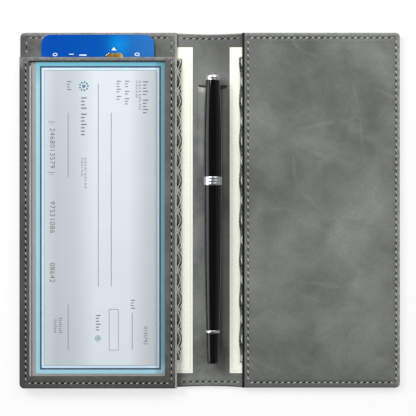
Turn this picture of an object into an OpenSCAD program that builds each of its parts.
// Checkbook cover, lying open and flat with its inside up, and what it holds.
// Millimetres. +X runs to the right cover, +Y to the top edge, +Z out of the inside.
// The origin is the middle of the underside.

/* [Cover] */
// Radius of the four outer corners
corner_r = 2.2; // [1:0.1:4]
// Thickness of the outer leather
shell_t = 1.0; // [0.8:0.1:1.6]
// Width of the outer leather's turned-in edge
turn_w = 6.0; // [4.5:0.1:8]
// Thickness of the interlining, and of the turned-in edge round it
interlining_t = 0.6; // [0.4:0.1:1.2]
// Thickness of the lining
lining_t = 0.3; // [0.2:0.05:0.6]
// How far the lining stays inside the outer edge
lining_inset = 0.6; // [0.2:0.1:1.2]
// How far the top and bottom edges draw in along the spine
draw_in = 0.6; // [0.3:0.1:1.2]

/* [Spine] */
// Width between the two panels, which the spine and the folds take up
panel_gap_w = 31.3; // [28:0.1:36]
// Distance from the slit's left end to the left fold line
slit_side_left = 1.95; // [0.5:0.05:3]
// Distance from the slit's right end to the right fold line
slit_side_right = 0.45; // [0.3:0.05:3]
// Gap between two bodies at a fold line
fold_gap = 0.2; // [0.1:0.05:0.4]

/* [Pocket panels] */
// How much wider the right panel is than the left one
right_extra_w = 0.5; // [0:0.1:3]
// Thickness of a pocket panel
panel_t = 0.8; // [0.6:0.1:1.4]
// Depth of the long pocket behind a panel
pocket_gap = 0.3; // [0.25:0.05:1]
// Width of a pocket panel's turned-in edge
hem_w = 4.6; // [4:0.1:5.4]
// Gap between two turned-in edges where they meet at a corner
butt_gap = 0.3; // [0.2:0.1:0.6]

/* [Window pocket] */
// Distance from the cover's top edge down to the window panel, at the least
window_drop = 12.0; // [9:0.1:16]
// Thickness of the window panel
window_t = 0.8; // [0.6:0.1:1.2]
// Width of the window panel's strip on the left
strip_left_w = 4.5; // [4.1:0.1:5]
// Width of its strip on the right
strip_right_w = 5.5; // [4.1:0.1:6]
// Width of its strip at the top
strip_top_w = 1.7; // [1.4:0.1:3]
// Width of its strip at the bottom
strip_bottom_w = 5.7; // [4.1:0.1:6.5]
// Radius of the window's corners
window_r = 1.0; // [0.5:0.1:2]
// Thickness of the clear film
film_t = 0.2; // [0.1:0.05:0.4]
// How far the film runs under the strips
film_hold = 3.4; // [2:0.1:3.6]
// How far the film's free top edge lies below the window's top
film_drop = 2.6; // [1:0.1:6]
// Thickness of the divider between the card slot and the window pocket
divider_t = 0.2; // [0.1:0.05:0.4]
// Width of the seam that closes the card slot
slot_seam_w = 1.2; // [0.8:0.1:2.5]
// Clearance above and below each piece that slides in a pocket
slide_clear = 0.1; // [0.08:0.01:0.2]
// Clearance between the edges of pieces that lie side by side
side_clear = 0.1; // [0.05:0.01:0.2]

/* [Stitching] */
// Length of one stitch
stitch_l = 2.0; // [1.4:0.1:2.2]
// Thickness of the thread across the stitch
stitch_w = 0.55; // [0.4:0.05:0.7]
// How far a stitch stands above the leather
stitch_h = 0.15; // [0.1:0.05:0.3]
// Slant of a stitch to its row, in degrees
stitch_slant = 16; // [0:1:25]
// Distance between stitches along the outer edges
edge_pitch = 2.85; // [2.6:0.05:4]
// Distance between stitches along the panels' inner edges
inner_pitch = 3.1; // [2.6:0.05:4]
// Distance of a row from the top, the bottom or an inner edge
stitch_in = 2.5; // [2:0.1:3]
// Distance of the left row from the left edge
stitch_in_left = 3.0; // [2:0.1:3.2]
// Distance of the right row from the right edge
stitch_in_right = 2.0; // [2:0.1:3]

/* [Papers and card] */
// Width of the card
card_w = 53.98; // [50:0.01:57]
// Length of the card
card_l = 85.6; // [80:0.1:90]
// Thickness of the card
card_t = 0.76; // [0.5:0.01:1]
// Radius of the card's corners
card_r = 3.18; // [2:0.01:4]
// Distance from the cover's top edge down to the card
card_drop = 1.1; // [0.5:0.1:4]
// Distance from the window's left edge to the card
card_in = 5.7; // [1:0.1:7]
// Room to the right of the card in its slot, at the least
card_room = 1.0; // [0.5:0.1:4]
// Width of the card's contact plate
chip_w = 8.0; // [7:0.1:12]
// Length of the contact plate
chip_l = 10.4; // [8:0.1:13]
// Thickness of the contact plate
chip_t = 0.3; // [0.2:0.05:0.4]
// Radius of the contact plate's corners
chip_r = 1.6; // [0.8:0.1:2.5]
// Distance from the card's top edge to the contact plate
chip_drop = 8.8; // [6:0.1:12]
// Distance from the card's left edge to the contact plate
chip_in = 31.1; // [20:0.1:38]
// Width of the check, across the cover
check_w = 61.7; // [56:0.1:64]
// Length of the check, along the spine
check_l = 148.9; // [140:0.1:149.3]
// Thickness of the check
check_t = 0.15; // [0.08:0.01:0.3]
// Radius of the check's corners
check_r = 0.8; // [0.4:0.1:2]
// Distance from the window's top edge down to the check
check_drop = 0.5; // [0.3:0.1:1]
// Room below the check in the window
check_room = 1.2; // [0.5:0.1:4]
// Room to the left of the check in the window
check_room_left = 3.2; // [0.5:0.1:6]
// Width of a banknote
note_w = 66.3; // [60:0.1:67]
// Length of a banknote
note_l = 156.2; // [140:0.1:157]
// Thickness of a banknote
note_t = 0.12; // [0.08:0.01:0.15]
// Distance from a fold line to the banknote beside it
note_from_fold = 0.5; // [0.4:0.1:3]
// Room between a banknote's end and the panel's turned-in edge, at the least
note_room = 2.3; // [1:0.1:5]

/* [Pen] */
// How far the pen lies right of the middle between the panels
pen_shift = 1.55; // [0:0.05:2]
// Distance from the cover's top edge down to the pen's top
pen_drop = 19.9; // [15:0.1:22]
// Height of the domed finial
finial_h = 2.8; // [2:0.1:4]
// Radius of the finial
finial_r = 3.15; // [2.8:0.05:3.3]
// Height of the finial's dome alone
dome_h = 1.9; // [1:0.1:1.9]
// Length of the cap without its band
cap_l = 45.1; // [43:0.1:50]
// Radius of the cap at its top
cap_top_r = 3.35; // [3.2:0.05:4]
// Radius of the cap and of the barrel where they meet
pen_r = 4.25; // [4:0.05:4.6]
// Thickness of the cap's wall
cap_wall = 0.6; // [0.4:0.05:0.65]
// Thickness of the cap's closed end
cap_end_t = 3.0; // [2:0.1:5]
// Length of the centre band
band_l = 5.2; // [4:0.1:7]
// How far the centre band stands out of the cap
band_proud = 0.08; // [0:0.01:0.3]
// Depth of the two grooves round the band
band_groove = 0.2; // [0.1:0.05:0.3]
// Length of the barrel
barrel_l = 68.4; // [60:0.1:72]
// Radius of the barrel's thin end
barrel_end_r = 3.25; // [3:0.05:3.6]
// Thickness of the barrel's wall
barrel_wall = 1.2; // [0.9:0.05:1.3]
// Thickness of the barrel's end wall
barrel_end_t = 2.0; // [1:0.1:4]
// Length of the thin ring
ring_l = 1.4; // [1:0.1:2.5]
// Radius of the thin ring
ring_r = 3.3; // [3:0.05:3.7]
// Length of the tail
tail_l = 14.8; // [10:0.1:16]
// Radius of the tail at the ring
tail_r = 3.2; // [2.9:0.05:3.4]
// Radius of the tail before its round end
tail_end_r = 2.8; // [2.5:0.05:3]
// Radius of the tail's stud, which passes through the ring
stud_r = 1.2; // [0.8:0.05:1.6]
// Length of the grip that stands out of the barrel
grip_l = 18.4; // [14:0.1:20]
// Clearance between the grip and the cap's mouth
cap_fit = 0.2; // [0.1:0.05:0.3]
// How much thinner the grip is at the tip than at the barrel
grip_taper = 0.45; // [0.3:0.05:0.9]
// Length of the grip's stud inside the barrel
grip_stud_l = 7.6; // [5:0.1:12]
// Length of the writing tip
tip_l = 12.0; // [8:0.1:12]
// Radius of the writing tip at the grip
tip_r = 2.3; // [1.8:0.05:2.6]
// Radius of the writing point
point_r = 0.5; // [0.3:0.05:0.8]
// Radius of the ink refill
refill_r = 1.2; // [0.8:0.05:1.4]
// Free room behind the refill in the barrel
refill_room = 12.8; // [2:0.1:30]
// Clearance between the pen's pieces that fit into each other
pen_clear = 0.05; // [0.03:0.01:0.1]

/* [Pen clip and its slit] */
// Width of the clip
clip_w = 3.4; // [2.6:0.1:4]
// Length of the clip from the cap's top
clip_l = 38; // [32:0.5:39]
// Thickness of the clip's metal
clip_t = 0.5; // [0.4:0.05:0.7]
// Distance from the clip's root down to the slit
slit_below = 2.4; // [1.5:0.1:6]
// Width of the slit
slit_w = 14.3; // [12:0.1:14.3]
// Opening of the slit along the spine
slit_gap = 0.4; // [0.2:0.1:1]
// Length of the lining's slope beyond the clip's tip
bridge_slope = 6; // [4:0.5:7]
// How much wider than the clip the bridge's flat top is, on each side
bridge_side = 1.7; // [1.2:0.1:2.2]
// Clearance between the bridge and the pen above it
bridge_clear = 0.1; // [0.08:0.01:0.3]
// Width of the bridge's feet, where they stand on the cover
bridge_wall_w = 1.2; // [0.8:0.1:2]

/* [Hidden] */

// Number of sides of a small round, and of a long shallow arc
round_n = 64;
arc_n = 720;
// Overlap of a cutting shape past the face it cuts
cut = 1;

// The window takes the check and the slot under it the card, so the panels and the cover follow
window_w = max(check_room_left + check_w + side_clear, card_in + card_w + card_room);
left_panel_w = strip_left_w + window_w + strip_right_w;
right_panel_w = left_panel_w + right_extra_w;
cover_w = left_panel_w + panel_gap_w + right_panel_w;
note_pocket_h = note_l + 2 * (hem_w + note_room);
window_pocket_h = window_drop + strip_top_w + check_drop + check_l + check_room + strip_bottom_w;
cover_h = max(note_pocket_h, window_pocket_h);

// The cover's edges, the pen's line and the fold lines
left_x = -cover_w / 2;
right_x = cover_w / 2;
top_y = cover_h / 2;
bottom_y = -cover_h / 2;
left_panel_x = left_x + left_panel_w;
right_panel_x = right_x - right_panel_w;
pen_x = (left_panel_x + right_panel_x) / 2 + pen_shift;
fold_left_x = pen_x - slit_w / 2 - slit_side_left;
fold_right_x = pen_x + slit_w / 2 + slit_side_right;

// Heights of the layers, from the underside up
interlining_z = shell_t;
lining_z = interlining_z + interlining_t;
inner_z = lining_z + lining_t;
panel_z = inner_z + pocket_gap;
panel_top_z = panel_z + panel_t;
card_z = panel_top_z + stitch_h + slide_clear;
divider_z = card_z + card_t + slide_clear;
check_z = divider_z + divider_t + slide_clear;
film_z = check_z + check_t + slide_clear;
window_z = film_z + film_t;
window_top_z = window_z + window_t;
note_z = inner_z + (pocket_gap - note_t) / 2;

// The window's opening
open_left_x = left_x + strip_left_w;
open_right_x = left_panel_x - strip_right_w;
window_y = top_y - window_drop;
open_top_y = window_y - strip_top_w;
open_bottom_y = bottom_y + strip_bottom_w;

// The card, its seam and the check
card_x = open_left_x + card_in;
card_y = top_y - card_drop - card_l;
check_x = open_right_x - side_clear - check_w;
check_y = open_top_y - check_drop - check_l;

// The arc that draws the edges in between the two panels
draw_chord = right_panel_x - left_panel_x;
draw_r = draw_chord * draw_chord / (8 * draw_in) + draw_in / 2;
draw_x = (left_panel_x + right_panel_x) / 2;

// Heights of the clip's blade, of the bridge over it and of the pen's axis
blade_z = inner_z + stitch_h + slide_clear;
bridge_top_z = blade_z + clip_t + slide_clear + lining_t;
band_r = pen_r + band_proud;
pen_z = bridge_top_z + bridge_clear + band_r;

// Places along the pen, from its top down
finial_y = top_y - pen_drop - finial_h;
clip_ring_t = clip_t;
cap_top_y = finial_y - clip_ring_t;
cap_y = cap_top_y - cap_l;
band_y = cap_y - band_l;
barrel_y = band_y - barrel_l;
ring_y = barrel_y - ring_l;
tail_y = ring_y - tail_l;
grip_y = band_y + grip_l;
tip_y = grip_y + tip_l;
slit_y = cap_top_y - slit_below;
blade_y = finial_y - clip_l;
bridge_y = blade_y - side_clear - lining_t - bridge_slope;

// The bridge's outer and inner outlines, half of each
bridge_foot = slit_w / 2;
bridge_shoulder = clip_w / 2 + bridge_side;

// A rectangle with round corners, by its lower left corner
module round_rect(x, y, w, h, r) {
    for (cx = [x + r, x + w - r], cy = [y + r, y + h - r])
        translate([cx, cy]) circle(r = r, $fn = round_n);
    translate([x + r, y]) square([w - 2 * r, h]);
    translate([x, y + r]) square([w, h - 2 * r]);
}

// The cover's outline, drawn in at the spine unless it is straight
module cover_outline(inset = 0, straight = false) {
    r = max(corner_r - inset, 0.5);
    difference() {
        round_rect(left_x + inset, bottom_y + inset, cover_w - 2 * inset, cover_h - 2 * inset, r);
        if (!straight)
            for (side = [-1, 1])
                translate([draw_x, side * (top_y - inset - draw_in + draw_r)])
                    circle(r = draw_r, $fn = arc_n);
    }
}

// One flat piece of the cover's outline, between two X and two Y lines
module sheet(x, y, z, t, inset = 0, straight = true) {
    translate([0, 0, z])
        linear_extrude(t)
            intersection() {
                cover_outline(inset, straight);
                translate([x[0], y[0]]) square([x[1] - x[0], y[1] - y[0]]);
            }
}

module bar(x, y, z) {
    translate([x[0], y[0], z[0]]) cube([x[1] - x[0], y[1] - y[0], z[1] - z[0]]);
}

// Outer leather between two X lines, its turned-in edge round the given inside
module outer_shell(x, inside_x) {
    difference() {
        sheet(x, [bottom_y, top_y], 0, lining_z, 0, false);
        bar(inside_x, [bottom_y + turn_w, top_y - turn_w], [shell_t, lining_z + cut]);
    }
}

module interlining(x) {
    color("gainsboro")
        bar(x, [bottom_y + turn_w + side_clear, top_y - turn_w - side_clear], [interlining_z, lining_z]);
}

fold_left = [fold_left_x - fold_gap / 2, fold_left_x + fold_gap / 2];
fold_right = [fold_right_x - fold_gap / 2, fold_right_x + fold_gap / 2];

module outer_shell_left() {
    color("dimgray")
        outer_shell([left_x, fold_left[0]], [left_x + turn_w, fold_left[0] + cut]);
}

module outer_shell_spine() {
    color("dimgray")
        outer_shell([fold_left[1], fold_right[0]], [fold_left[1] - cut, fold_right[0] + cut]);
}

module outer_shell_right() {
    color("dimgray")
        outer_shell([fold_right[1], right_x], [fold_right[1] - cut, right_x - turn_w]);
}

module interlining_left() interlining([left_x + turn_w + side_clear, fold_left[0]]);
module interlining_spine() interlining([fold_left[1], fold_right[0]]);
module interlining_right() interlining([fold_right[1], right_x - turn_w - side_clear]);

module lining(x) {
    color("gray") sheet(x, [bottom_y, top_y], lining_z, lining_t, lining_inset, false);
}

module lining_left() lining([left_x, fold_left[0]]);
module lining_right() lining([fold_right[1], right_x]);

// The spine's lining, cut across by the slit and open under the bridge
module lining_spine() {
    color("gray")
        difference() {
            lining([fold_left[1], fold_right[0]]);
            bar([pen_x - bridge_foot, pen_x + bridge_foot], [bridge_y, slit_y + slit_gap],
                [lining_z - cut, inner_z + cut]);
        }
}

// A bridge's cross-section, a low trapezoid standing on the given foot
module bridge_section(foot, shoulder, z0, z1) {
    polygon([[-foot, z0], [foot, z0], [shoulder, z1], [-shoulder, z1]]);
}

// A bridge's solid: its cross-section along the spine, cut by its slope at the far end
module bridge_solid(foot, shoulder, z0, z1, y0, y1, slope) {
    intersection() {
        translate([pen_x, y1, 0])
            rotate([90, 0, 0])
                linear_extrude(y1 - y0) bridge_section(foot, shoulder, z0, z1);
        translate([pen_x - foot - cut, 0, 0])
            rotate([90, 0, 90])
                linear_extrude(2 * (foot + cut))
                    polygon([[y0, z0], [y1, z0], [y1, z1], [y0 + slope, z1]]);
    }
}

// The lining's raised lip over the clip, open towards the slit
module pen_bridge() {
    inner_top_z = bridge_top_z - lining_t;
    color("darkgray")
        difference() {
            union() {
                bridge_solid(bridge_foot - side_clear, bridge_shoulder, inner_z, bridge_top_z,
                    bridge_y + side_clear, slit_y, bridge_slope);
                bar([pen_x - bridge_foot + side_clear, pen_x + bridge_foot - side_clear],
                    [bridge_y + side_clear, slit_y], [lining_z, inner_z]);
            }
            bridge_solid(bridge_foot - bridge_wall_w, bridge_shoulder - lining_t / 2,
                inner_z, inner_top_z, bridge_y + bridge_wall_w, slit_y + cut, bridge_slope);
            bar([pen_x - bridge_foot + bridge_wall_w, pen_x + bridge_foot - bridge_wall_w],
                [bridge_y + bridge_wall_w, slit_y + cut], [lining_z - cut, inner_z + lining_t / 10]);
        }
}

// Turned-in edges along a side and along the top and bottom, each a bar of its own
module left_panel_hem() {
    color("dimgray") {
        sheet([left_x, left_x + hem_w], [bottom_y, top_y], inner_z, pocket_gap);
        for (y = [[top_y - hem_w, top_y], [bottom_y, bottom_y + hem_w]])
            sheet([left_x + hem_w + butt_gap, left_panel_x], y, inner_z, pocket_gap);
    }
}

module right_panel_hem() {
    color("dimgray") {
        sheet([right_x - hem_w, right_x], [bottom_y, top_y], inner_z, pocket_gap);
        for (y = [[top_y - hem_w, top_y], [bottom_y, bottom_y + hem_w]])
            sheet([right_panel_x, right_x - hem_w - butt_gap], y, inner_z, pocket_gap);
    }
}

module left_pocket_panel() {
    color("gray") sheet([left_x, left_panel_x], [bottom_y, top_y], panel_z, panel_t);
}

module right_pocket_panel() {
    color("gray") sheet([right_panel_x, right_x], [bottom_y, top_y], panel_z, panel_t);
}

// The line that closes the card slot just below the card
module card_slot_seam() {
    color("silver")
        bar([open_left_x + side_clear, open_right_x - side_clear],
            [card_y - 2 * side_clear - slot_seam_w, card_y - 2 * side_clear], [panel_top_z, divider_z]);
}

module pocket_divider() {
    color("silver")
        bar([open_left_x + side_clear, open_right_x - side_clear],
            [open_bottom_y + side_clear, open_top_y], [divider_z, divider_z + divider_t]);
}

// The window panel's turned-in edges, which hold the card slot and the window pocket open
module window_panel_hem() {
    z = panel_top_z;
    t = film_z - panel_top_z;
    color("dimgray") {
        sheet([left_x, open_left_x], [bottom_y, window_y], z, t);
        sheet([open_left_x + butt_gap, open_right_x - butt_gap], [bottom_y, open_bottom_y], z, t);
        sheet([open_right_x, left_panel_x], [bottom_y, window_y], z, t);
    }
}

module window_film() {
    color("aliceblue", 0.4)
        bar([open_left_x - film_hold, open_right_x + film_hold],
            [open_bottom_y - film_hold, open_top_y - film_drop], [film_z, window_z]);
}

// The leather frame of the window
module window_panel() {
    color("gray")
        translate([0, 0, window_z])
            linear_extrude(window_t)
                difference() {
                    intersection() {
                        cover_outline(0, true);
                        translate([left_x, bottom_y]) square([left_panel_w, window_y - bottom_y]);
                    }
                    round_rect(open_left_x, open_bottom_y, open_right_x - open_left_x,
                        open_top_y - open_bottom_y, window_r);
                }
}

// One slanted stitch on the leather at height z
module stitch(place, angle, z) {
    translate([place[0], place[1], z])
        rotate(angle + stitch_slant)
            translate([-stitch_l / 2, -stitch_w / 2, 0]) cube([stitch_l, stitch_w, stitch_h]);
}

// Stitches at an even pitch from one point to another, clear of both ends
module stitch_row(from, to, z, pitch) {
    clear = stitch_l / 4;
    run = norm(to - from) - 2 * clear;
    along = (to - from) / norm(to - from);
    count = max(1, floor(run / pitch));
    for (i = [0 : count - 1])
        stitch(from + along * (clear + (i + 0.5) * run / count), atan2(along[1], along[0]), z);
}

// The rows' lines
row_top_y = top_y - stitch_in;
row_bottom_y = bottom_y + stitch_in;
row_left_x = left_x + stitch_in_left;
row_right_x = right_x - stitch_in_right;
row_left_inner_x = left_panel_x - stitch_in;
row_right_inner_x = right_panel_x + stitch_in;

// The left cover's stitches above the window panel, and those on its lining by the fold
module stitching_left() {
    window_row_y = window_y + stitch_l / 4;
    color("lightgray") {
        stitch_row([row_left_x, row_top_y], [row_left_x, window_row_y], panel_top_z, edge_pitch);
        stitch_row([row_left_x, row_top_y], [row_left_inner_x, row_top_y], panel_top_z, edge_pitch);
        stitch_row([row_left_inner_x, row_top_y], [row_left_inner_x, window_row_y], panel_top_z, inner_pitch);
        for (y = [row_top_y, row_bottom_y])
            stitch_row([left_panel_x, y], [fold_left[0], y], inner_z, edge_pitch);
    }
}

// The stitches on the window panel, down one side, along the bottom and up the other
module stitching_window() {
    y = window_y - stitch_l / 4;
    color("lightgray") {
        stitch_row([row_left_x, y], [row_left_x, row_bottom_y], window_top_z, edge_pitch);
        stitch_row([row_left_x, row_bottom_y], [row_left_inner_x, row_bottom_y], window_top_z, edge_pitch);
        stitch_row([row_left_inner_x, row_bottom_y], [row_left_inner_x, y], window_top_z, inner_pitch);
    }
}

module stitching_spine() {
    color("lightgray")
        for (y = [row_top_y, row_bottom_y])
            stitch_row([fold_left[1], y], [fold_right[0], y], inner_z, edge_pitch);
}

module stitching_right() {
    color("lightgray") {
        for (y = [row_top_y, row_bottom_y]) {
            stitch_row([fold_right[1], y], [right_panel_x, y], inner_z, edge_pitch);
            stitch_row([row_right_inner_x, y], [row_right_x, y], panel_top_z, edge_pitch);
        }
        stitch_row([row_right_x, row_top_y], [row_right_x, row_bottom_y], panel_top_z, edge_pitch);
        stitch_row([row_right_inner_x, row_top_y], [row_right_inner_x, row_bottom_y],
            panel_top_z, inner_pitch);
    }
}

module banknote(x) {
    color("ivory") bar([x, x + note_w], [-note_l / 2, note_l / 2], [note_z, note_z + note_t]);
}

module left_banknote() banknote(fold_left_x - note_from_fold - note_w);
module right_banknote() banknote(fold_right_x + note_from_fold);

// The contact plate's outline on the card
module chip_outline() {
    round_rect(card_x + chip_in, card_y + card_l - chip_drop - chip_l, chip_w, chip_l, chip_r);
}

module bank_card() {
    color("royalblue")
        difference() {
            translate([0, 0, card_z])
                linear_extrude(card_t) round_rect(card_x, card_y, card_w, card_l, card_r);
            translate([0, 0, card_z + card_t - chip_t]) linear_extrude(chip_t + cut) chip_outline();
        }
}

module card_chip() {
    color("gold")
        translate([0, 0, card_z + card_t - chip_t]) linear_extrude(chip_t) chip_outline();
}

module check_slip() {
    color("lightblue")
        translate([0, 0, check_z])
            linear_extrude(check_t) round_rect(check_x, check_y, check_w, check_l, check_r);
}

// A piece turned about the pen's axis, from an outline of [radius, Y] points
module turned() {
    translate([pen_x, 0, pen_z]) rotate([-90, 0, 0]) rotate_extrude($fn = round_n) children();
}

// Radius of the cap's outside, and of the barrel's, at a place along the pen
function cap_r(y) = pen_r + (cap_top_r - pen_r) * (y - cap_y) / cap_l;
function barrel_r(y) = barrel_end_r + (pen_r - barrel_end_r) * (y - barrel_y) / barrel_l;

module pen_cap() {
    bore_y = cap_top_y - cap_end_t;
    color("black")
        turned()
            polygon([
                [cap_r(cap_y) - cap_wall, cap_y], [cap_r(cap_y), cap_y],
                [cap_r(cap_top_y), cap_top_y], [0, cap_top_y],
                [0, bore_y], [cap_r(bore_y) - cap_wall, bore_y]
            ]);
}

// A short drum under a shallow dome
module cap_finial() {
    drum_h = finial_h - dome_h;
    sphere_r = (finial_r * finial_r + dome_h * dome_h) / (2 * dome_h);
    color("silver") {
        turned() translate([0, finial_y]) square([finial_r, drum_h]);
        turned()
            intersection() {
                translate([0, finial_y + finial_h - sphere_r]) circle(r = sphere_r, $fn = round_n);
                translate([0, finial_y + drum_h]) square([finial_r, dome_h]);
            }
    }
}

// A ring under the finial, a tab down to the lining and the blade under the bridge
module pen_clip() {
    tip_r = clip_w / 2;
    color("silver") {
        turned() translate([0, cap_top_y]) square([finial_r, clip_ring_t]);
        bar([pen_x - tip_r, pen_x + tip_r], [cap_top_y, finial_y], [blade_z, pen_z - finial_r / 2]);
        bar([pen_x - tip_r, pen_x + tip_r], [blade_y + tip_r, finial_y], [blade_z, blade_z + clip_t]);
        translate([pen_x, blade_y + tip_r, blade_z]) cylinder(r = tip_r, h = clip_t, $fn = round_n);
    }
}

// The band at the cap's mouth, with two grooves that leave three ribs
module cap_band() {
    groove_w = band_l / 10;
    color("silver")
        turned()
            difference() {
                translate([pen_r - cap_wall, band_y]) square([band_proud + cap_wall, band_l]);
                for (share = [1, 2])
                    translate([band_r - band_groove, band_y + share * band_l / 3 - groove_w / 2])
                        square([band_groove + cut, groove_w]);
            }
}

module pen_barrel() {
    bore_y = barrel_y + barrel_end_t;
    color("black")
        turned()
            polygon([
                [stud_r + pen_clear, barrel_y], [barrel_r(barrel_y), barrel_y],
                [barrel_r(band_y), band_y], [barrel_r(band_y) - barrel_wall, band_y],
                [barrel_r(bore_y) - barrel_wall, bore_y], [stud_r + pen_clear, bore_y]
            ]);
}

module barrel_ring() {
    color("silver")
        turned() translate([stud_r + pen_clear, ring_y]) square([ring_r - stud_r - pen_clear, ring_l]);
}

// The tail with its round end, and the stud that joins it to the barrel
module barrel_tail() {
    end_r = tail_end_r / 2;
    color("black")
        turned() {
            square_y = tail_y + end_r;
            polygon([[0, square_y], [tail_end_r, square_y], [tail_r, ring_y], [0, ring_y]]);
            translate([0, tail_y]) square([tail_end_r - end_r, end_r]);
            intersection() {
                translate([tail_end_r - end_r, square_y]) circle(r = end_r, $fn = round_n);
                translate([0, tail_y]) square([tail_end_r, end_r]);
            }
            translate([0, ring_y]) square([stud_r, ring_l + barrel_end_t]);
        }
}

module grip_section() {
    grip_r = pen_r - cap_wall - cap_fit;
    grip_stud_r = pen_r - barrel_wall - 2 * pen_clear;
    stud_y = band_y - grip_stud_l;
    stud_end_r = min(grip_stud_r, barrel_r(stud_y) - barrel_wall - pen_clear);
    color("black")
        turned()
            polygon([
                [refill_r + pen_clear, stud_y], [stud_end_r, stud_y], [grip_stud_r, band_y],
                [grip_r, band_y], [grip_r - grip_taper, grip_y], [refill_r + pen_clear, grip_y]
            ]);
}

module writing_tip() {
    color("silver")
        turned() polygon([[0, grip_y], [tip_r, grip_y], [point_r, tip_y], [0, tip_y]]);
}

module ink_refill() {
    refill_y = barrel_y + barrel_end_t + refill_room;
    color("white")
        turned() translate([0, refill_y]) square([refill_r, grip_y - refill_y]);
}

outer_shell_left();
outer_shell_spine();
outer_shell_right();
interlining_left();
interlining_spine();
interlining_right();
lining_left();
lining_spine();
lining_right();
pen_bridge();
left_panel_hem();
left_pocket_panel();
card_slot_seam();
pocket_divider();
window_panel_hem();
window_film();
window_panel();
right_panel_hem();
right_pocket_panel();
stitching_left();
stitching_window();
stitching_spine();
stitching_right();
left_banknote();
right_banknote();
bank_card();
card_chip();
check_slip();
pen_cap();
cap_finial();
pen_clip();
cap_band();
pen_barrel();
barrel_ring();
barrel_tail();
grip_section();
writing_tip();
ink_refill();
